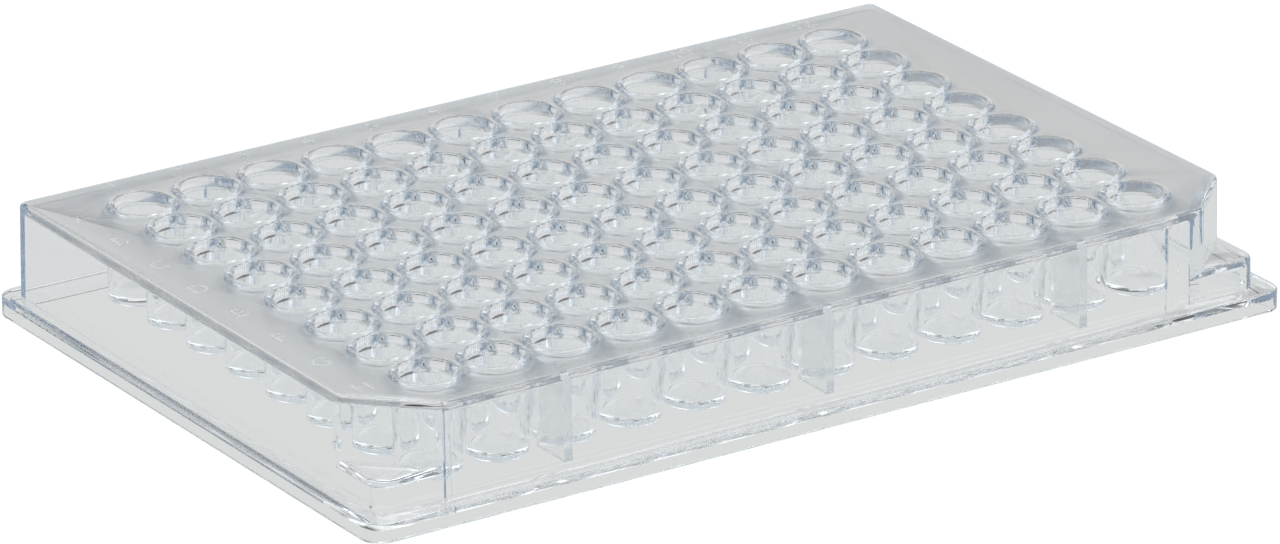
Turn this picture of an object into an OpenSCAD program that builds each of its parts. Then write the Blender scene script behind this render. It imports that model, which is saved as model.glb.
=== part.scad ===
// Ninety-six well plate for a biology lab: one clear moulding.
// Millimetres. The origin is at the middle of the footprint, on the surface
// the plate stands on. X runs along the columns' numbering, Y across the rows
// with row A at +Y, Z up. The two cut corners are at the front, on -Y.

/* [Footprint] */
// Length of the base flange
plate_l = 127.76; // [118:0.01:156]
// Width of the base flange
plate_w = 85.48; // [80:0.01:106]
// Height over the rims of the wells
plate_h = 14.3; // [11.9:0.1:26]
// Radius of the flange's corners
flange_r = 2.7; // [1.5:0.1:6]

/* [Flange and walls] */
// Height of the flange's outer face
flange_h = 2.4; // [1.6:0.1:3.2]
// Thickness of the flange's outer wall
flange_t = 1.3; // [0.8:0.1:1.8]
// Thickness of the shelf that joins the flange to the wall
shelf_t = 1.2; // [0.8:0.1:1.4]
// How far the flange stands out past the end walls, at deck level
flange_out_x = 2.25; // [1.5:0.05:3]
// How far the flange stands out past the long walls, at deck level
flange_out_y = 2.2; // [1.2:0.05:3]
// Thickness of the end walls and long walls
wall_t = 1.2; // [0.8:0.1:1.8]
// Thickness of the deck
deck_t = 1.3; // [0.8:0.1:2]
// Radius of the walls' upright corners, at deck level
wall_r = 2.5; // [1.9:0.1:5]
// Draft of the walls, in degrees from upright
wall_draft = 0.7; // [0:0.1:1.5]
// Bevel round the edge of the deck
deck_bevel = 0.5; // [0.1:0.05:0.6]
// Bevel round the flange's upper edge
flange_bevel = 0.2; // [0.1:0.05:0.5]

/* [Cut corners] */
// Length that each cut corner takes off both of its walls
corner_cut = 8.8; // [4:0.1:12]
// Height of the ledge left below each cut corner
ledge_h = 6.3; // [4.5:0.1:8]
// Distance from each end wall to the step in the front wall, at deck level
front_side = 12.2; // [10:0.1:22]
// How far the middle of the front wall stands forward
front_step = 0.4; // [0.2:0.05:1]

/* [Wells] */
// Columns of wells, along X
columns = 12; // [4:1:12]
// Rows of wells, along Y
rows = 8; // [2:1:8]
// Distance between the wells' centres
pitch = 9.0; // [7.4:0.05:9.2]
// Bore of a well at its mouth
well_d = 6.86; // [5:0.01:7.2]
// How much narrower a well is at its floor than at its mouth
well_taper = 0.46; // [0.1:0.01:1]
// Depth of a well
well_depth = 10.7; // [8:0.1:11]
// Thickness of a well's floor
floor_t = 1.1; // [0.8:0.1:1.6]
// Thickness of a well's wall
tube_t = 0.5; // [0.4:0.05:0.8]
// Bevel round the foot of each tube
tube_bevel = 0.3; // [0.1:0.05:0.4]
// Width of the flat top of the rim round each mouth
rim_w = 0.7; // [0.5:0.05:0.75]
// Height of the rim above the deck
rim_h = 0.2; // [0.1:0.05:0.3]
// Slope of the rim's flank, in degrees from level
rim_slope = 36; // [30:1:60]
// Bevel inside each mouth
mouth_bevel = 0.18; // [0.05:0.01:0.2]

/* [Ribs] */
// Thickness of the ribs under the deck
rib_t = 1.1; // [0.6:0.1:1.6]
// Distance between ribs, in columns
rib_every = 4; // [2:1:5]
// Height of the ribs' lower edge
rib_foot = 2.9; // [2.4:0.1:6]
// Clearance from a rib's inner edge to the line of the outer wells' centres
rib_clear = 2.2; // [2:0.1:4]

/* [Hidden] */
$fn = 48;

over = 1;
deck_z = plate_h - rim_h;
deck_under = deck_z - deck_t;
shelf_under = flange_h - shelf_t;
deck_l = plate_l - 2 * flange_out_x;
deck_w = plate_w - 2 * flange_out_y;
front_half = deck_l / 2 - front_side;
well_x0 = -(columns - 1) * pitch / 2;
well_y0 = -(rows - 1) * pitch / 2;
floor_z = plate_h - well_depth;
tube_foot = floor_z - floor_t;
well_r = well_d / 2;
well_floor_r = (well_d - well_taper) / 2;
rim_r = well_r + rim_w;
rim_foot_r = rim_r + rim_h / tan(rim_slope);

// How far a wall has leant out from its place at deck level, at height z, to
// the nearest 0.0001, so that flat faces and round corners meet exactly.
function lean(z) = round((deck_z - z) * tan(wall_draft) * 10000) / 10000;

// Outer face of the walls: [height, distance out from the deck's outline].
outer_face = [
    [shelf_under, lean(shelf_under)],
    [deck_z - deck_bevel, lean(deck_z - deck_bevel)],
    [deck_z, -deck_bevel]
];

// Inner face of the walls, up to the deck's underside.
inner_face = [
    [shelf_under - over, lean(shelf_under - over) - wall_t],
    [deck_under, lean(deck_under) - wall_t]
];

// Half of a block's outline in side view, and its mirror image.
function outline(half, face) = concat(
    [for (p = face) [half + p[1], p[0]]],
    [for (i = [len(face) - 1:-1:0]) [-half - face[i][1], face[i][0]]]
);

// A block l by w with corners of radius r, whose sides follow face.
module rounded_block(l, w, r, face) {
    rotate([90, 0, 0])
        linear_extrude(w - 2 * r, center = true)
            polygon(outline(l / 2, face));
    rotate([90, 0, 90])
        linear_extrude(l - 2 * r, center = true)
            polygon(outline(w / 2, face));
    for (turn = [0:3])
        let (sx = turn == 0 || turn == 3 ? 1 : -1, sy = turn < 2 ? 1 : -1)
            translate([sx * (l / 2 - r), sy * (w / 2 - r), 0])
                rotate(90 * turn)
                    rotate_extrude(angle = 90)
                        polygon(concat(
                            [for (p = face) [r + p[1], p[0]]],
                            [[0, face[len(face) - 1][0]], [0, face[0][0]]]
                        ));
}

// All that lies outside a cut corner, above height z_low. side is 1 or -1.
module corner_waste(side, z_low, inset, bevel) {
    reach = -corner_cut / sqrt(2) - inset;
    far = 2 * corner_cut;
    translate([side * deck_l / 2, -deck_w / 2, 0])
        rotate(side > 0 ? -45 : -135)
            rotate([90, 0, 0])
                linear_extrude(4 * corner_cut, center = true)
                    polygon([
                        [reach + lean(z_low), z_low],
                        [reach + lean(deck_z - bevel), deck_z - bevel],
                        [reach - bevel, deck_z],
                        [reach - bevel - over, deck_z + over],
                        [far, deck_z + over],
                        [far, z_low]
                    ]);
}

// The walls' form, solid through: the block with its middle standing forward.
module walls_form(face, inset) {
    translate([0, front_step / 2, 0])
        rounded_block(deck_l, deck_w - front_step, wall_r, face);
    rotate([90, 0, 90])
        linear_extrude(2 * (front_half - inset), center = true)
            polygon(concat(
                [for (p = face) [-deck_w / 2 - p[1], p[0]]],
                [[0, face[len(face) - 1][0]], [0, face[0][0]]]
            ));
}

// Deck and walls as one solid block, with both front corners cut.
module outer_block() {
    difference() {
        walls_form(outer_face, 0);
        for (side = [-1, 1]) corner_waste(side, ledge_h, 0, deck_bevel);
    }
}

// The open space under the deck.
module hollow() {
    difference() {
        walls_form(inner_face, wall_t);
        for (side = [-1, 1]) corner_waste(side, ledge_h - shelf_t, wall_t, 0);
    }
}

// The flange round the foot.
module flange() {
    rounded_block(plate_l, plate_w, flange_r, [
        [0, 0], [flange_h - flange_bevel, 0], [flange_h, -flange_bevel]
    ]);
}

// The wider step at the foot, which a plate's deck below drops into.
module foot_step() {
    rounded_block(plate_l - 2 * flange_t, plate_w - 2 * flange_t, flange_r - flange_t,
        [[-over, 0], [shelf_under, 0]]);
}

// Places its children at every well.
module at_wells() {
    for (c = [0:columns - 1], r = [0:rows - 1])
        translate([well_x0 + c * pitch, well_y0 + r * pitch, 0]) children();
}

// One tube with the raised rim on top, solid through.
module tube() {
    rotate_extrude() polygon([
        [0, tube_foot],
        [well_floor_r + tube_t - tube_bevel, tube_foot],
        [well_floor_r + tube_t, tube_foot + tube_bevel],
        [well_r + tube_t, deck_under + deck_t / 2],
        [rim_foot_r, deck_under + deck_t / 2],
        [rim_foot_r, deck_z],
        [rim_r, plate_h],
        [0, plate_h]
    ]);
}

// The space inside one well: a cone that narrows to a flat floor.
module bore() {
    rotate_extrude() polygon([
        [0, floor_z],
        [well_floor_r, floor_z],
        [well_r, plate_h - mouth_bevel],
        [well_r + mouth_bevel + over, plate_h + over],
        [0, plate_h + over]
    ]);
}

// Upright ribs from the long walls in to the outer rows of tubes.
module ribs() {
    rib_y = deck_w / 2 - wall_t / 2;
    rib_end = -well_y0 + rib_clear;
    for (side = [-1, 1], k = [-1:1])
        translate([k * rib_every * pitch - rib_t / 2, side > 0 ? rib_end : -rib_y, rib_foot])
            cube([rib_t, rib_y - rib_end, deck_under + deck_t / 2 - rib_foot]);
}

module plate() {
    color([0.85, 0.90, 0.94, 0.55])
        difference() {
            union() {
                difference() {
                    union() {
                        flange();
                        outer_block();
                    }
                    foot_step();
                    hollow();
                }
                at_wells() tube();
                ribs();
            }
            at_wells() bore();
        }
}

plate();
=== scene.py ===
"""A clear ninety-six well plate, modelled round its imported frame.

The plate is one moulding, so it is one mesh: walls, flange and deck are joined
from blocks, the tubes and rims are added, the wells are bored out, and the row
letters and column numbers stand on the deck. Everything is in metres, in the
frame's own axes: X along the columns, Y across the rows, Z up.
"""
import logging
import math
from dataclasses import dataclass
from enum import Enum
from typing import Callable, Iterator

import bmesh
import bpy
from mathutils import Matrix, Vector


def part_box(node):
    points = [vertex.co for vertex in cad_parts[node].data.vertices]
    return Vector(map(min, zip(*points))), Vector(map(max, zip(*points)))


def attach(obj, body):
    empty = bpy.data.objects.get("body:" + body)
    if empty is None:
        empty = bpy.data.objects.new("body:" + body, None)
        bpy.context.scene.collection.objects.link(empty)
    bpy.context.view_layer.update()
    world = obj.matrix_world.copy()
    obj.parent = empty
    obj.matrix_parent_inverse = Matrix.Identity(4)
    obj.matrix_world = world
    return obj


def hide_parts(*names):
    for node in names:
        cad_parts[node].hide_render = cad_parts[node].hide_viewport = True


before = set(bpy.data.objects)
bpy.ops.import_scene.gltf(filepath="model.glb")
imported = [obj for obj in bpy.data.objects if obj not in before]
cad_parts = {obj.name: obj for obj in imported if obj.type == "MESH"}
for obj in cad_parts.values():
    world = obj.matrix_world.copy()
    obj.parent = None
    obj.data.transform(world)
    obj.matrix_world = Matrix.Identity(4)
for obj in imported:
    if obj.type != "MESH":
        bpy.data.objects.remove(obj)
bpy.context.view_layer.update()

MM = 0.001
NEAR = 1e-6
CLOSE = 5 * NEAR
LEVEL = 0.999
SIDEWAYS = 0.99
CUT_HALF_ANGLE = math.pi / 8
SMOOTH_ANGLE = math.radians(30)
ROW_LETTERS = "ABCDEFGH"
NODE = "plate"
SLOT = "clear_polystyrene"
ETCHED = "etched"
log = logging.getLogger("well_plate")

Profile = list[tuple[float, float]]
FaceTest = Callable[[bmesh.types.BMFace], bool]
EdgeTest = Callable[[bmesh.types.BMEdge], bool]


class Join(Enum):
    """What a tool solid does to the solid it is combined with."""

    ADD = "UNION"
    CUT = "DIFFERENCE"


@dataclass(frozen=True)
class Footprint:
    """Outer sizes of the plate, taken from its packed box."""

    length: float
    width: float
    height: float

    @classmethod
    def of_node(cls, node: str) -> "Footprint":
        """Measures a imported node.

        Args:
            node: Name of the node.

        Returns:
            The node's length, width and height.
        """
        low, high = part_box(node)
        size = Vector(high) - Vector(low)
        return cls(size.x, size.y, size.z)


class Bench:
    """The few modelling moves that every part of the plate is made with."""

    @staticmethod
    def only(piece: bpy.types.Object) -> None:
        """Selects one object and makes it active.

        Args:
            piece: The object to work on.
        """
        bpy.ops.object.select_all(action="DESELECT")
        piece.select_set(True)
        bpy.context.view_layer.objects.active = piece

    @staticmethod
    def name_last(name: str) -> bpy.types.Object:
        """Names the object that was just added and bakes its place into its mesh.

        Args:
            name: The object's new name.

        Returns:
            The object, at the origin and unscaled.
        """
        piece = bpy.context.active_object
        piece.name = name
        Bench.only(piece)
        bpy.ops.object.transform_apply(location=True, rotation=True, scale=True)
        return piece

    @staticmethod
    def block(name: str, low: Vector, high: Vector) -> bpy.types.Object:
        """Adds a block between two corners.

        Args:
            name: The block's name.
            low: Its lowest corner.
            high: Its highest corner.

        Returns:
            The block.
        """
        bpy.ops.object.select_all(action="DESELECT")
        bpy.ops.mesh.primitive_cube_add(
            size=1.0, location=(low + high) / 2, scale=high - low
        )
        return Bench.name_last(name)

    @staticmethod
    def choose_faces(piece: bpy.types.Object, test: FaceTest) -> None:
        """Selects the faces that pass a test, in edit mode.

        Args:
            piece: The object, in edit mode.
            test: Test that a face has to pass.
        """
        bpy.ops.mesh.select_mode(type="FACE")
        bpy.ops.mesh.select_all(action="DESELECT")
        mesh = bmesh.from_edit_mesh(piece.data)
        for face in [f for f in mesh.faces if test(f)]:
            face.select_set(True)
        bmesh.update_edit_mesh(piece.data)

    @staticmethod
    def choose_edges(piece: bpy.types.Object, test: EdgeTest) -> None:
        """Selects the edges that pass a test, in edit mode.

        Args:
            piece: The object, in edit mode.
            test: Test that an edge has to pass.
        """
        bpy.ops.mesh.select_mode(type="EDGE")
        bpy.ops.mesh.select_all(action="DESELECT")
        mesh = bmesh.from_edit_mesh(piece.data)
        for edge in [e for e in mesh.edges if test(e)]:
            edge.select_set(True)
        bmesh.update_edit_mesh(piece.data)

    @staticmethod
    def level_edges(height: float) -> EdgeTest:
        """Makes a test for edges that lie flat at one height.

        Args:
            height: The height.

        Returns:
            The test.
        """
        return lambda edge: all(abs(v.co.z - height) < NEAR for v in edge.verts)

    @staticmethod
    def front_edges(height: float) -> EdgeTest:
        """Makes a test for level edges at one height that lie in front of the middle.

        Args:
            height: The height.

        Returns:
            The test.
        """
        return lambda edge: all(
            abs(v.co.z - height) < NEAR and v.co.y < -NEAR for v in edge.verts
        )

    @staticmethod
    def combine(
        piece: bpy.types.Object, tool: bpy.types.Object, join: Join = Join.ADD
    ) -> None:
        """Joins or cuts one solid with another, and removes the other.

        Args:
            piece: The solid that is kept.
            tool: The solid that it is joined or cut with.
            join: Whether the tool is added or cut away.
        """
        step = piece.modifiers.new(join.name, "BOOLEAN")
        step.operation = join.value
        step.solver = "MANIFOLD"
        step.object = tool
        Bench.only(piece)
        bpy.ops.object.modifier_apply(modifier=step.name)
        bpy.data.objects.remove(tool, do_unlink=True)


@dataclass(frozen=True)
class Walls:
    """Deck, walls and flange: a box open below, with a stepped foot."""

    foot: Footprint
    flange_height: float = 2.4 * MM
    flange_wall: float = 1.3 * MM
    flange_radius: float = 2.7 * MM
    flange_round: float = 0.14 * MM
    foot_round: float = 0.03 * MM
    shelf: float = 1.2 * MM
    inset_x: float = 2.25 * MM
    inset_y: float = 2.2 * MM
    wall: float = 1.2 * MM
    cut_wall: float = 1.95 * MM
    deck: float = 1.3 * MM
    rim_height: float = 0.2 * MM
    corner_radius: float = 2.5 * MM
    rear_radius: float = 1.2 * MM
    rear_inner_radius: float = 0.25 * MM
    cut_round: float = 0.7 * MM
    edge_round: float = 0.55 * MM
    inner_round: float = 0.35 * MM
    draft: float = math.radians(0.7)
    step_draft: float = math.radians(7.0)
    corner_cut: float = 8.8 * MM
    ledge_height: float = 6.3 * MM
    front_side: float = 12.2 * MM
    front_step: float = 0.4 * MM
    set_back: float = 0.08 * MM
    overlap: float = 1.5 * MM
    corner_steps: int = 8
    edge_steps: int = 4

    @property
    def deck_top(self) -> float:
        """Height of the deck's upper face."""
        return self.foot.height - self.rim_height

    @property
    def deck_under(self) -> float:
        """Height of the deck's lower face."""
        return self.deck_top - self.deck

    @property
    def half_x(self) -> float:
        """Half the deck's length."""
        return self.foot.length / 2 - self.inset_x

    @property
    def half_y(self) -> float:
        """Half the deck's width."""
        return self.foot.width / 2 - self.inset_y

    def lean(self, z: float) -> float:
        """How far a wall stands out at height z, past its place at the deck."""
        return (self.deck_top - z) * math.tan(self.draft)

    def _drafted(self, name: str, low: Vector, high: Vector) -> bpy.types.Object:
        """Models a block whose sides follow the walls' draft, left in edit mode.

        Args:
            name: Name of the block.
            low: Its lowest corner, with its sides as they are at the deck.
            high: Its highest corner.

        Returns:
            The block.
        """
        block = Bench.block(name, low, high)
        middle, half = (low + high) / 2, (high - low) / 2
        bpy.ops.object.mode_set(mode="EDIT")
        for z in (low.z, high.z):
            self._widen(block, z, middle, half, self.lean(z))
        return block

    @staticmethod
    def _widen(
        block: bpy.types.Object, z: float, middle: Vector, half: Vector, grow: float
    ) -> None:
        """Moves the sides of the level face at one height out, all by one distance.

        Args:
            block: The block, in edit mode.
            z: Height of the face.
            middle: The block's middle.
            half: Half of its size.
            grow: The distance.
        """
        Bench.choose_faces(block, lambda f: abs(f.calc_center_median().z - z) < NEAR)
        bpy.ops.transform.resize(
            value=(1 + grow / half.x, 1 + grow / half.y, 1),
            center_override=(middle.x, middle.y, z),
        )

    def _round_upright(
        self, block: bpy.types.Object, test: EdgeTest, radius: float
    ) -> None:
        """Rounds the upright edges that pass a test.

        Args:
            block: The block, in edit mode.
            test: Test that an upright edge has to pass.
            radius: Radius of the rounding.
        """
        Bench.choose_edges(
            block, lambda e: abs(e.verts[0].co.z - e.verts[1].co.z) > MM and test(e)
        )
        bpy.ops.mesh.bevel(offset=radius, segments=self.corner_steps, affect="EDGES")

    def _round_top(self, block: bpy.types.Object, top: float, radius: float) -> None:
        """Rounds the edges at one height of a block, and leaves edit mode.

        Args:
            block: The block, in edit mode.
            top: Height of the edges.
            radius: Radius of the rounding.
        """
        Bench.choose_edges(block, Bench.level_edges(top))
        bpy.ops.mesh.bevel(offset=radius, segments=self.edge_steps, affect="EDGES")
        bpy.ops.object.mode_set(mode="OBJECT")

    def _corner(
        self, side: int, z_low: float, z_high: float, inside: float, radius: float
    ) -> bpy.types.Object:
        """Models the block under one ledge, a little back from the walls beside it.

        Args:
            side: 1 for the right corner, -1 for the left.
            z_low: Height of its foot.
            z_high: Height of the ledge.
            inside: How far its sides lie inside the walls' outer faces.
            radius: Radius of its upper edges.

        Returns:
            The block.
        """
        x = self.half_x - inside - self.set_back
        y = self.half_y - self.front_step - inside - self.set_back
        reach = self.corner_cut + self.overlap
        ends = sorted((side * x, side * (x - reach)))
        block = self._drafted(
            "under_ledge",
            Vector((ends[0], -y, z_low)),
            Vector((ends[1], -y + reach, z_high)),
        )
        self._round_upright(
            block,
            lambda e: (
                side * e.verts[0].co.x > x - reach / 2
                and e.verts[0].co.y < reach / 2 - y
            ),
            self.corner_radius - inside,
        )
        self._round_top(block, z_high, radius)
        return block

    def _upper(
        self, z_low: float, z_high: float, inside: float, radius: float
    ) -> bpy.types.Object:
        """Models the walls' form up to the deck, with both front corners cut.

        Args:
            z_low: Height of its foot.
            z_high: Height of its top.
            inside: How far its sides lie inside the walls' outer faces.
            radius: Radius of its upper edges.

        Returns:
            The block.
        """
        x, y = self.half_x - inside, self.half_y - inside
        block = self._drafted(
            "above_ledges",
            Vector((-x, -y + self.front_step, z_low)),
            Vector((x, y, z_high)),
        )
        cut = self.corner_cut - self.front_step
        rear = self.rear_radius
        if inside:
            cut += math.sqrt(2) * self.cut_wall - 2 * inside
            rear = self.rear_inner_radius
        Bench.choose_edges(
            block,
            lambda e: abs(e.verts[0].co.z - e.verts[1].co.z) > MM and e.verts[0].co.y < 0,
        )
        bpy.ops.mesh.bevel(offset=cut, segments=1, affect="EDGES")
        self._round_upright(block, lambda e: e.verts[0].co.y > 0, rear)
        self._round_upright(
            block,
            lambda e: e.verts[0].co.y < 0,
            self.cut_round - inside * math.tan(CUT_HALF_ANGLE),
        )
        self._round_top(block, z_high, radius)
        return block

    def _middle(
        self, z_low: float, z_high: float, inside: float, radius: float
    ) -> bpy.types.Object:
        """Models the middle of the front wall, which stands forward.

        Args:
            z_low: Height of its foot.
            z_high: Height of its top.
            inside: How far its sides lie inside the walls' outer faces.
            radius: Radius of its upper edge.

        Returns:
            The block.
        """
        y = self.half_y - inside
        block = Bench.block(
            "front_middle",
            Vector((self.corner_cut - self.half_x + inside, -y, z_low)),
            Vector((self.half_x - self.front_side - inside, 0, z_high)),
        )
        bpy.ops.object.mode_set(mode="EDIT")
        for z in (z_low, z_high):
            Bench.choose_edges(block, Bench.front_edges(z))
            bpy.ops.transform.translate(value=(0, -self.lean(z), 0))
        Bench.choose_edges(block, Bench.front_edges(z_high))
        bpy.ops.mesh.bevel(offset=radius, segments=self.edge_steps, affect="EDGES")
        bpy.ops.object.mode_set(mode="OBJECT")
        return block

    def form(
        self, z_low: float, z_ledge: float, z_high: float, inside: float, radius: float
    ) -> bpy.types.Object:
        """Models the walls' form as a solid block.

        Args:
            z_low: Height of its foot.
            z_ledge: Height of the ledges at its front corners.
            z_high: Height of its top.
            inside: How far its sides lie inside the walls' outer faces.
            radius: Radius of its upper edges.

        Returns:
            The block.
        """
        block = self._upper(z_low, z_high, inside, radius)
        for side in (-1, 1):
            Bench.combine(block, self._corner(side, z_low, z_ledge, inside, radius))
        Bench.combine(block, self._middle(z_low, z_high, inside, radius))
        return block

    def slab(
        self, name: str, inside: float, z_low: float, z_high: float
    ) -> bpy.types.Object:
        """Models a slab of the flange's form, with round corners, left in edit mode.

        Args:
            name: Name of the slab.
            inside: How far its sides lie inside the flange's.
            z_low: Height of its lower face.
            z_high: Height of its upper face.

        Returns:
            The slab.
        """
        x, y = self.foot.length / 2 - inside, self.foot.width / 2 - inside
        slab = Bench.block(name, Vector((-x, -y, z_low)), Vector((x, y, z_high)))
        bpy.ops.object.mode_set(mode="EDIT")
        self._round_upright(slab, lambda e: True, self.flange_radius - inside)
        return slab

    def build(self) -> bpy.types.Object:
        """Models the walls, deck and flange as one open box.

        Returns:
            The box.
        """
        under_shelf = self.flange_height - self.shelf
        box = self.form(under_shelf, self.ledge_height, self.deck_top, 0.0, self.edge_round)
        box.name = "plate_moulding"
        flange = self.slab("flange", 0.0, 0.0, self.flange_height)
        self._round_top(flange, self.flange_height, self.flange_round)
        bpy.ops.object.mode_set(mode="EDIT")
        self._round_top(flange, 0.0, self.foot_round)
        Bench.combine(box, flange)
        step = self.slab("foot_step", self.flange_wall, -MM, under_shelf)
        half = Vector((self.foot.length / 2, self.foot.width / 2, 0))
        self._widen(
            step, -MM, Vector(), half, (under_shelf + MM) * math.tan(self.step_draft)
        )
        self._round_top(step, under_shelf, self.foot_round)
        Bench.combine(box, step, Join.CUT)
        hollow = self.form(
            under_shelf - MM, self.ledge_height - self.shelf, self.deck_under, self.wall,
            self.inner_round,
        )
        Bench.combine(box, hollow, Join.CUT)
        return box


@dataclass(frozen=True)
class Wells:
    """The grid of tubes with their raised rims, and the bores inside them."""

    walls: Walls
    columns: int = 12
    rows: int = 8
    pitch: float = 9.0 * MM
    mouth: float = 6.86 * MM
    taper: float = 0.46 * MM
    depth: float = 10.7 * MM
    floor_thickness: float = 1.1 * MM
    tube_wall: float = 0.5 * MM
    foot_round: float = 0.3 * MM
    rim_width: float = 0.7 * MM
    flank: float = 0.365 * MM
    flank_curve: tuple[tuple[float, float], ...] = ((0.5, 0.28), (0.18, 0.68))
    sink: float = 0.02 * MM
    mouth_round: float = 0.2 * MM
    floor_round: float = 0.25 * MM
    corners: int = 44
    round_steps: int = 3

    def column_x(self, column: int) -> float:
        """Place of a column, counted from nought."""
        return (column - (self.columns - 1) / 2) * self.pitch

    def row_y(self, row: int) -> float:
        """Place of a row, counted from nought at the rear."""
        return ((self.rows - 1) / 2 - row) * self.pitch

    def holds(self, place: Vector) -> bool:
        """Says whether a place is on or in one of the tubes.

        Args:
            place: The place.

        Returns:
            True if it is nearer to a tube's axis than the foot of its rim is.
        """
        column = round(place.x / self.pitch + (self.columns - 1) / 2)
        row = round((self.rows - 1) / 2 - place.y / self.pitch)
        if not (0 <= column < self.columns and 0 <= row < self.rows):
            return False
        off = math.hypot(place.x - self.column_x(column), place.y - self.row_y(row))
        return off < self.mouth / 2 + self.rim_width + self.flank

    def quarter(
        self, r: float, z: float, radius: float, start: float, end: float
    ) -> Profile:
        """Points round a quarter of a circle in a side view.

        Args:
            r: Distance of the quarter's centre from the tube's axis.
            z: Height of the quarter's centre.
            radius: Its radius.
            start: Angle of the first point, in degrees.
            end: Angle of the last point, in degrees.

        Returns:
            Pairs of distance from the axis and height.
        """
        angles = [
            math.radians(start + (end - start) * i / self.round_steps)
            for i in range(self.round_steps + 1)
        ]
        return [(r + radius * math.cos(a), z + radius * math.sin(a)) for a in angles]

    def turned(self, name: str, profile: Profile) -> bpy.types.Object:
        """Models a turned solid by extruding and resizing a disc.

        Args:
            name: Name of the solid.
            profile: Pairs of radius and height, from foot to top.

        Returns:
            The solid, round the Z axis.
        """
        radius, height = profile[0]
        bpy.ops.object.select_all(action="DESELECT")
        bpy.ops.mesh.primitive_circle_add(
            vertices=self.corners, radius=radius, fill_type="NGON", location=(0, 0, height)
        )
        solid = Bench.name_last(name)
        bpy.ops.object.mode_set(mode="EDIT")
        bpy.ops.mesh.select_all(action="SELECT")
        for wider, higher in profile[1:]:
            bpy.ops.mesh.extrude_region_move(
                TRANSFORM_OT_translate={"value": (0, 0, higher - height)}
            )
            bpy.ops.transform.resize(
                value=(wider / radius, wider / radius, 1), center_override=(0, 0, higher)
            )
            radius, height = wider, higher
        bpy.ops.mesh.select_all(action="SELECT")
        bpy.ops.mesh.normals_make_consistent(inside=False)
        bpy.ops.object.mode_set(mode="OBJECT")
        return solid

    def tube(self) -> bpy.types.Object:
        """Models one tube with its rim, solid through.

        The rim's flank bends through the points of flank_curve, which are shares of
        its run and of its rise.

        Returns:
            The tube.
        """
        top, deck = self.walls.foot.height, self.walls.deck_top
        under = self.walls.deck_under
        floor_radius = (self.mouth - self.taper) / 2 + self.tube_wall
        foot = top - self.depth - self.floor_thickness
        outside = self.mouth / 2 + self.tube_wall
        rim = self.mouth / 2 + self.rim_width
        drop = top - deck
        return self.turned("tube", [
            *self.quarter(
                floor_radius - self.foot_round, foot + self.foot_round,
                self.foot_round, -90, 0,
            ),
            (outside, under - self.foot_round),
            (outside + self.foot_round, under),
            (rim + self.flank, under + self.walls.deck / 2),
            (rim + self.flank, deck - self.sink),
            *[
                (rim + run * self.flank, deck + rise * drop)
                for run, rise in self.flank_curve
            ],
            (rim, top),
        ])

    def bore(self) -> bpy.types.Object:
        """Models the space inside one well, running out past its mouth.

        Returns:
            The space, as a solid.
        """
        top = self.walls.foot.height
        floor = top - self.depth
        return self.turned("bore", [
            *self.quarter(
                (self.mouth - self.taper) / 2 - self.floor_round,
                floor + self.floor_round, self.floor_round, -90, 0,
            ),
            *self.quarter(
                self.mouth / 2 + self.mouth_round, top - self.mouth_round,
                self.mouth_round, 180, 90,
            ),
            (self.mouth / 2 + self.mouth_round, top + MM),
        ])

    def spread(self, one: bpy.types.Object) -> bpy.types.Object:
        """Copies a solid to every well, each copy with its own mesh, and joins them.

        Args:
            one: The solid, round the Z axis.

        Returns:
            All the copies as one object.
        """
        copies = []
        for column in range(self.columns):
            for row in range(self.rows):
                copy = one.copy()
                copy.data = one.data.copy()
                place = Vector((self.column_x(column), self.row_y(row), 0))
                copy.data.transform(Matrix.Translation(place))
                bpy.context.collection.objects.link(copy)
                copies.append(copy)
        bpy.data.objects.remove(one, do_unlink=True)
        Bench.only(copies[0])
        for copy in copies:
            copy.select_set(True)
        bpy.ops.object.join()
        return bpy.context.active_object


@dataclass(frozen=True)
class Ribs:
    """Upright ribs between the long walls and the outer rows of tubes."""

    walls: Walls
    wells: Wells
    thickness: float = 1.1 * MM
    every: int = 4
    foot: float = 2.9 * MM
    clear: float = 2.2 * MM

    def build(self) -> Iterator[bpy.types.Object]:
        """Models each rib as a thin block that runs up into the deck.

        Yields:
            One rib at a time.
        """
        outer = self.walls.half_y - self.walls.wall / 2
        inner = self.wells.row_y(0) + self.clear
        top = self.walls.deck_top - self.walls.deck / 2
        for step in (-1, 0, 1):
            x = step * self.every * self.wells.pitch
            for low, high in ((-outer, -inner), (inner, outer)):
                yield Bench.block(
                    "rib",
                    Vector((x - self.thickness / 2, low, self.foot)),
                    Vector((x + self.thickness / 2, high, top)),
                )

    def is_side(self, face: bpy.types.MeshPolygon) -> bool:
        """Says whether a face is one of the ribs' broad sides.

        Args:
            face: A face of the finished plate.

        Returns:
            True if it is.
        """
        step = self.every * self.wells.pitch
        off = abs(face.center.x - step * round(face.center.x / step)) - self.thickness / 2
        outer_row = self.wells.row_y(0)
        return (
            abs(off) < NEAR
            and abs(face.normal.x) > SIDEWAYS
            and abs(face.center.y) > outer_row
            and face.center.z < self.walls.deck_top
        )


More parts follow.
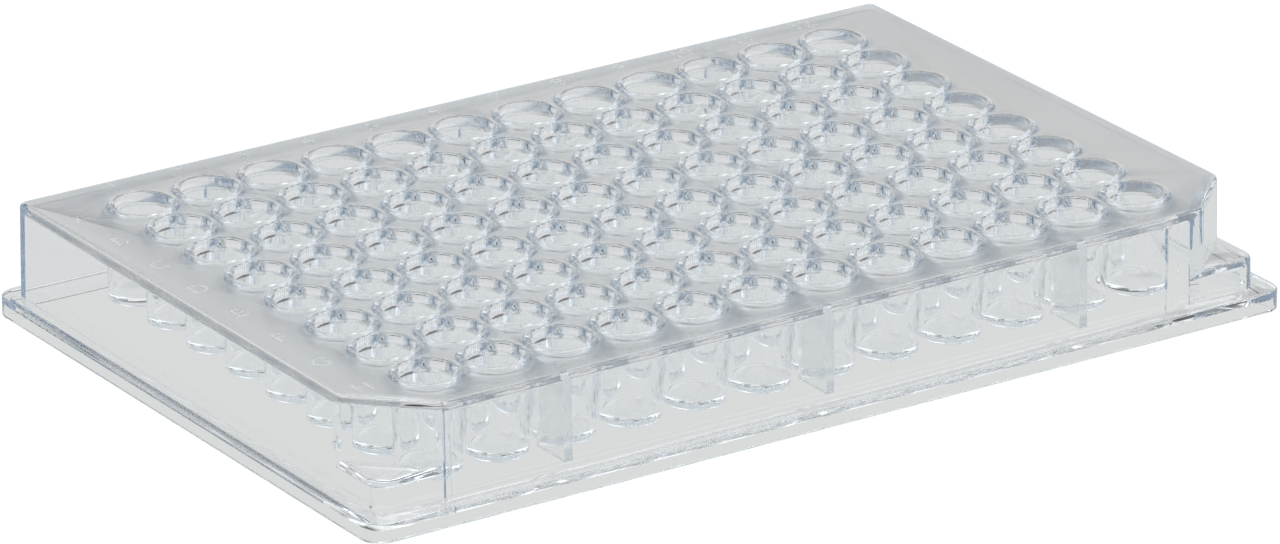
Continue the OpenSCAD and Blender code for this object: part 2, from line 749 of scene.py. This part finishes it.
@dataclass(frozen=True)
class Marks:
    """Row letters and column numbers, standing just proud of the deck."""

    walls: Walls
    wells: Wells
    size: float = 3.4 * MM
    proud: float = 0.016 * MM
    letter_x: float = -57.9 * MM
    number_y: float = 38.3 * MM
    curve_steps: int = 3

    def build(self) -> Iterator[bpy.types.Object]:
        """Models each mark as a solid that is sunk a little into the deck.

        Yields:
            One mark at a time.
        """
        for row in range(self.wells.rows):
            yield self._mark(ROW_LETTERS[row], self.letter_x, self.wells.row_y(row))
        for column in range(self.wells.columns):
            yield self._mark(str(column + 1), self.wells.column_x(column), self.number_y)

    def _mark(self, character: str, x: float, y: float) -> bpy.types.Object:
        """Models one mark, centred on a place on the deck.

        Args:
            character: What it says.
            x: Its place along the columns.
            y: Its place across the rows.

        Returns:
            The mark.
        """
        bpy.ops.object.select_all(action="DESELECT")
        bpy.ops.object.text_add(location=(x, y, self.walls.deck_top))
        text = bpy.context.active_object
        text.data.body = character
        text.data.size = self.size
        text.data.align_x, text.data.align_y = "CENTER", "CENTER"
        text.data.extrude = self.proud
        text.data.resolution_u = self.curve_steps
        bpy.ops.object.convert(target="MESH")
        mark = Bench.name_last("mark")
        bpy.ops.object.mode_set(mode="EDIT")
        bpy.ops.mesh.select_all(action="SELECT")
        bpy.ops.mesh.remove_doubles(threshold=NEAR)
        bpy.ops.mesh.normals_make_consistent(inside=False)
        bpy.ops.object.mode_set(mode="OBJECT")
        return mark


class Surface(Enum):
    """How the mould left a face: its roughness."""

    POLISHED = 0.02
    TURNED = 0.035
    SATIN = 0.15
    ETCHED = 0.32

    @property
    def etching(self) -> float:
        """Share of full etching, from 0 for polished to 1 for etched."""
        low, high = Surface.POLISHED.value, Surface.ETCHED.value
        return (self.value - low) / (high - low)


@dataclass(frozen=True)
class ClearPolystyrene:
    """Clear polystyrene with a cool cast, polished but for its etched faces."""

    tint: tuple[float, float, float, float] = (0.995, 0.999, 1.0, 1.0)
    ior: float = 1.59
    depth_colour: tuple[float, float, float, float] = (0.125, 0.425, 0.725, 1.0)
    depth_density: float = 8.0
    cloud_scale: float = 90.0
    cloud_detail: float = 2.0
    cloud_range: tuple[float, float] = (0.88, 1.12)
    grain_scale: float = 6500.0
    grain_detail: float = 1.0
    grain_height: float = 0.006 * MM
    wave_scale: float = 55.0
    wave_detail: float = 0.0
    wave_height: float = 0.05 * MM

    def build(self) -> bpy.types.Material:
        """Makes the material.

        Returns:
            The material.
        """
        material = bpy.data.materials.new(SLOT)
        material.use_nodes = True
        nodes, links = material.node_tree.nodes, material.node_tree.links
        shader = nodes["Principled BSDF"]
        shader.inputs["Base Color"].default_value = self.tint
        shader.inputs["Transmission Weight"].default_value = 1.0
        shader.inputs["IOR"].default_value = self.ior
        depth = nodes.new("ShaderNodeVolumeAbsorption")
        depth.inputs["Color"].default_value = self.depth_colour
        depth.inputs["Density"].default_value = self.depth_density
        links.new(depth.outputs["Volume"], nodes["Material Output"].inputs["Volume"])
        etched = nodes.new("ShaderNodeAttribute")
        etched.attribute_name = ETCHED
        place = nodes.new("ShaderNodeTexCoord")
        self._roughness(material.node_tree, shader, etched, place)
        self._relief(material.node_tree, shader, etched, place)
        return material

    @staticmethod
    def _noise(
        tree: bpy.types.NodeTree, place: bpy.types.Node, scale: float, detail: float
    ) -> bpy.types.NodeSocket:
        """Adds a noise in the piece's own coordinates.

        Args:
            tree: The material's node tree.
            place: The node that gives the coordinates.
            scale: Scale of the noise.
            detail: How many finer layers it has.

        Returns:
            The socket that gives its value.
        """
        noise = tree.nodes.new("ShaderNodeTexNoise")
        noise.inputs["Scale"].default_value = scale
        noise.inputs["Detail"].default_value = detail
        tree.links.new(place.outputs["Object"], noise.inputs["Vector"])
        return noise.outputs["Fac"]

    def _roughness(
        self,
        tree: bpy.types.NodeTree,
        shader: bpy.types.Node,
        etched: bpy.types.Node,
        place: bpy.types.Node,
    ) -> None:
        """Sets each face's roughness, a little uneven as a worn mould leaves it.

        Args:
            tree: The material's node tree.
            shader: Its shader.
            etched: The node that gives each face's share of full etching.
            place: The node that gives the piece's own coordinates.
        """
        rough = tree.nodes.new("ShaderNodeMapRange")
        rough.inputs["To Min"].default_value = Surface.POLISHED.value
        rough.inputs["To Max"].default_value = Surface.ETCHED.value
        tree.links.new(etched.outputs["Fac"], rough.inputs["Value"])
        cloud = tree.nodes.new("ShaderNodeMapRange")
        low, high = self.cloud_range
        cloud.inputs["To Min"].default_value = low
        cloud.inputs["To Max"].default_value = high
        tree.links.new(
            self._noise(tree, place, self.cloud_scale, self.cloud_detail),
            cloud.inputs["Value"],
        )
        uneven = tree.nodes.new("ShaderNodeMath")
        uneven.operation = "MULTIPLY"
        tree.links.new(rough.outputs["Result"], uneven.inputs[0])
        tree.links.new(cloud.outputs["Result"], uneven.inputs[1])
        tree.links.new(uneven.outputs["Value"], shader.inputs["Roughness"])

    def _relief(
        self,
        tree: bpy.types.NodeTree,
        shader: bpy.types.Node,
        etched: bpy.types.Node,
        place: bpy.types.Node,
    ) -> None:
        """Adds the faint flow waves of a moulding, and grain on its etched faces.

        Args:
            tree: The material's node tree.
            shader: Its shader.
            etched: The node that gives each face's share of full etching.
            place: The node that gives the piece's own coordinates.
        """
        wave = tree.nodes.new("ShaderNodeBump")
        wave.inputs["Distance"].default_value = self.wave_height
        tree.links.new(
            self._noise(tree, place, self.wave_scale, self.wave_detail),
            wave.inputs["Height"],
        )
        grain = tree.nodes.new("ShaderNodeBump")
        grain.inputs["Distance"].default_value = self.grain_height
        tree.links.new(
            self._noise(tree, place, self.grain_scale, self.grain_detail),
            grain.inputs["Height"],
        )
        tree.links.new(etched.outputs["Fac"], grain.inputs["Strength"])
        tree.links.new(wave.outputs["Normal"], grain.inputs["Normal"])
        tree.links.new(grain.outputs["Normal"], shader.inputs["Normal"])


@dataclass(frozen=True)
class Studio:
    """Bright floor, soft light and the camera."""

    floor_size: float = 6.0
    floor_colour: tuple[float, float, float, float] = (0.985, 1.0, 0.995, 1.0)
    floor_drop: float = 0.03 * MM
    floor_seen: float = 1.05
    floor_through: float = 0.71
    sweep_glow: float = 0.7
    sweep_ends: tuple[float, float] = (0.4, 0.42)
    ceiling_front: float = 1.9
    ceiling_back: float = 0.12
    ceiling_starts: tuple[float, float] = (0.52, 0.56)
    ceiling_fades: tuple[float, float] = (-0.1, 0.35)
    lamp_place: tuple[float, float, float] = (0.35, 0.9, 0.95)
    lamp_size: tuple[float, float] = (1.2, 0.45)
    lamp_power: float = 1.5
    view_azimuth: float = math.radians(-33.266)
    view_rise: float = math.radians(21.745)
    view_roll: float = math.radians(-0.304)
    view_target: tuple[float, float, float] = (-2.998 * MM, -4.699 * MM, 7.0 * MM)
    view_distance: float = 1.081
    lens: float = 257.4
    sensor_width: float = 36.0
    nearest: float = 0.01

    def floor(self) -> None:
        """Lays a white floor that glows evenly, as a light table does."""
        bpy.ops.object.select_all(action="DESELECT")
        bpy.ops.mesh.primitive_plane_add(size=self.floor_size, location=(0, 0, 0))
        floor = Bench.name_last("floor")
        floor.data.transform(Matrix.Translation((0, 0, -self.floor_drop)))
        finish = bpy.data.materials.new("floor_white")
        finish.use_nodes = True
        nodes, links = finish.node_tree.nodes, finish.node_tree.links
        shader = nodes["Principled BSDF"]
        shader.inputs["Base Color"].default_value = (0.0, 0.0, 0.0, 1.0)
        shader.inputs["Roughness"].default_value = 1.0
        shader.inputs["Specular IOR Level"].default_value = 0.0
        shader.inputs["Emission Color"].default_value = self.floor_colour
        path = nodes.new("ShaderNodeLightPath")
        glow = nodes.new("ShaderNodeMapRange")
        glow.inputs["To Min"].default_value = self.floor_through
        glow.inputs["To Max"].default_value = self.floor_seen
        links.new(path.outputs["Is Camera Ray"], glow.inputs["Value"])
        links.new(glow.outputs["Result"], shader.inputs["Emission Strength"])
        finish.cycles.emission_sampling = "NONE"
        floor.data.materials.append(finish)

    def world(self) -> None:
        """Puts a pale sweep all round, a dark gap above it, and a ceiling lit in front."""
        world = bpy.data.worlds.new("studio")
        bpy.context.scene.world = world
        world.use_nodes = True
        tree = world.node_tree
        place = tree.nodes.new("ShaderNodeTexCoord")
        split = tree.nodes.new("ShaderNodeSeparateXYZ")
        tree.links.new(place.outputs["Generated"], split.inputs["Vector"])
        sweep = self._fade(
            tree, split.outputs["Z"], self.sweep_ends, (self.sweep_glow, 0.0)
        )
        ceiling = self._fade(tree, split.outputs["Z"], self.ceiling_starts, (0.0, 1.0))
        front = self._fade(
            tree, split.outputs["Y"], self.ceiling_fades,
            (self.ceiling_front, self.ceiling_back),
        )
        glow = tree.nodes.new("ShaderNodeMath")
        glow.operation = "MULTIPLY_ADD"
        for socket, value in zip(glow.inputs, (ceiling, front, sweep)):
            tree.links.new(value, socket)
        background = tree.nodes["Background"]
        background.inputs["Color"].default_value = (1.0, 1.0, 1.0, 1.0)
        tree.links.new(glow.outputs["Value"], background.inputs["Strength"])
        world.cycles.sampling_method = "NONE"

    @staticmethod
    def _fade(
        tree: bpy.types.NodeTree,
        value: bpy.types.NodeSocket,
        reach: tuple[float, float],
        levels: tuple[float, float],
    ) -> bpy.types.NodeSocket:
        """Adds a smooth change from one level to another as a value crosses a reach.

        Args:
            tree: The node tree.
            value: The value that changes.
            reach: Where the change starts and ends.
            levels: The level before it and after it.

        Returns:
            The socket that gives the level.
        """
        fade = tree.nodes.new("ShaderNodeMapRange")
        fade.interpolation_type = "SMOOTHSTEP"
        fade.inputs["From Min"].default_value, fade.inputs["From Max"].default_value = reach
        fade.inputs["To Min"].default_value, fade.inputs["To Max"].default_value = levels
        tree.links.new(value, fade.inputs["Value"])
        return fade.outputs["Result"]

    def lights(self) -> None:
        """Hangs the soft box behind the plate, aimed at it."""
        place = Vector(self.lamp_place)
        lamp = bpy.data.lights.new("soft_box", "AREA")
        lamp.shape = "RECTANGLE"
        lamp.size, lamp.size_y = self.lamp_size
        lamp.energy = self.lamp_power
        holder = bpy.data.objects.new("soft_box", lamp)
        bpy.context.collection.objects.link(holder)
        holder.location = place
        holder.rotation_euler = (-place).to_track_quat("-Z", "Y").to_euler()

    def camera(self) -> None:
        """Sets the camera up front left, through a long lens."""
        azimuth, rise, roll = self.view_azimuth, self.view_rise, self.view_roll
        back = Vector((
            math.sin(azimuth) * math.cos(rise),
            -math.cos(azimuth) * math.cos(rise),
            math.sin(rise),
        ))
        right = Vector((-back.y, back.x, 0)).normalized()
        up = back.cross(right)
        turned_right = math.cos(roll) * right + math.sin(roll) * up
        turned_up = math.cos(roll) * up - math.sin(roll) * right
        camera = bpy.data.cameras.new("camera")
        camera.sensor_width = self.sensor_width
        camera.lens = self.lens
        camera.clip_start = self.nearest
        holder = bpy.data.objects.new("camera", camera)
        bpy.context.collection.objects.link(holder)
        pose = Matrix((turned_right, turned_up, back)).transposed().to_4x4()
        pose.translation = Vector(self.view_target) + back * self.view_distance
        holder.matrix_world = pose
        bpy.context.scene.camera = holder


def mark_etched(
    plate: bpy.types.Object, walls: Walls, wells: Wells, ribs: Ribs
) -> None:
    """Marks how far the mould etched each face, in an attribute of the mesh.

    Args:
        plate: The finished plate.
        walls: Its walls, which say where the deck is.
        wells: Its wells, whose turned faces are less bright than the flat ones.
        ribs: Its ribs, whose broad sides are satin.
    """
    mesh = plate.data
    etched = mesh.attributes.new(ETCHED, "FLOAT", "FACE")
    for face in mesh.polygons:
        if face.normal.z > LEVEL and abs(face.center.z - walls.deck_top) < CLOSE:
            finish = Surface.ETCHED
        elif ribs.is_side(face):
            finish = Surface.SATIN
        elif wells.holds(face.center):
            finish = Surface.TURNED
        else:
            finish = Surface.POLISHED
        etched.data[face.index].value = finish.etching


@dataclass(frozen=True)
class LightPaths:
    """How far light is followed: far, since the clear walls guide it along."""

    total: int = 160
    transmission: int = 96
    glossy: int = 128

    def apply(self, scene: bpy.types.Scene) -> None:
        """Sets the scene's limits on light paths.

        Args:
            scene: The scene.
        """
        scene.cycles.use_light_tree = False
        scene.cycles.max_bounces = self.total
        scene.cycles.transmission_bounces = self.transmission
        scene.cycles.glossy_bounces = self.glossy


def build_plate() -> bpy.types.Object:
    """Models the whole moulding and gives it its finish.

    Returns:
        The plate.
    """
    walls = Walls(Footprint.of_node(NODE))
    wells = Wells(walls)
    ribs = Ribs(walls, wells)
    plate = walls.build()
    log.info("walls, deck and flange")
    Bench.combine(plate, wells.spread(wells.tube()))
    log.info("tubes and rims")
    for rib in ribs.build():
        Bench.combine(plate, rib)
    for mark in Marks(walls, wells).build():
        Bench.combine(plate, mark)
    log.info("ribs, letters and numbers")
    Bench.combine(plate, wells.spread(wells.bore()), Join.CUT)
    log.info("wells")
    mark_etched(plate, walls, wells, ribs)
    Bench.only(plate)
    bpy.ops.object.shade_smooth_by_angle(angle=SMOOTH_ANGLE)
    plate.data.materials.clear()
    plate.data.materials.append(ClearPolystyrene().build())
    return plate


def main() -> None:
    """Builds the plate, dresses it and sets the studio."""
    logging.basicConfig(level=logging.INFO, format="%(name)s: %(message)s")
    plate = build_plate()
    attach(plate, "root")
    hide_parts(NODE)
    plate.data.calc_loop_triangles()
    log.info("%s: %d triangles", plate.name, len(plate.data.loop_triangles))
    studio = Studio()
    studio.floor()
    studio.world()
    studio.lights()
    studio.camera()
    scene = bpy.context.scene
    scene.view_settings.view_transform = "Standard"
    LightPaths().apply(scene)


if __name__ == "__main__":
    main()
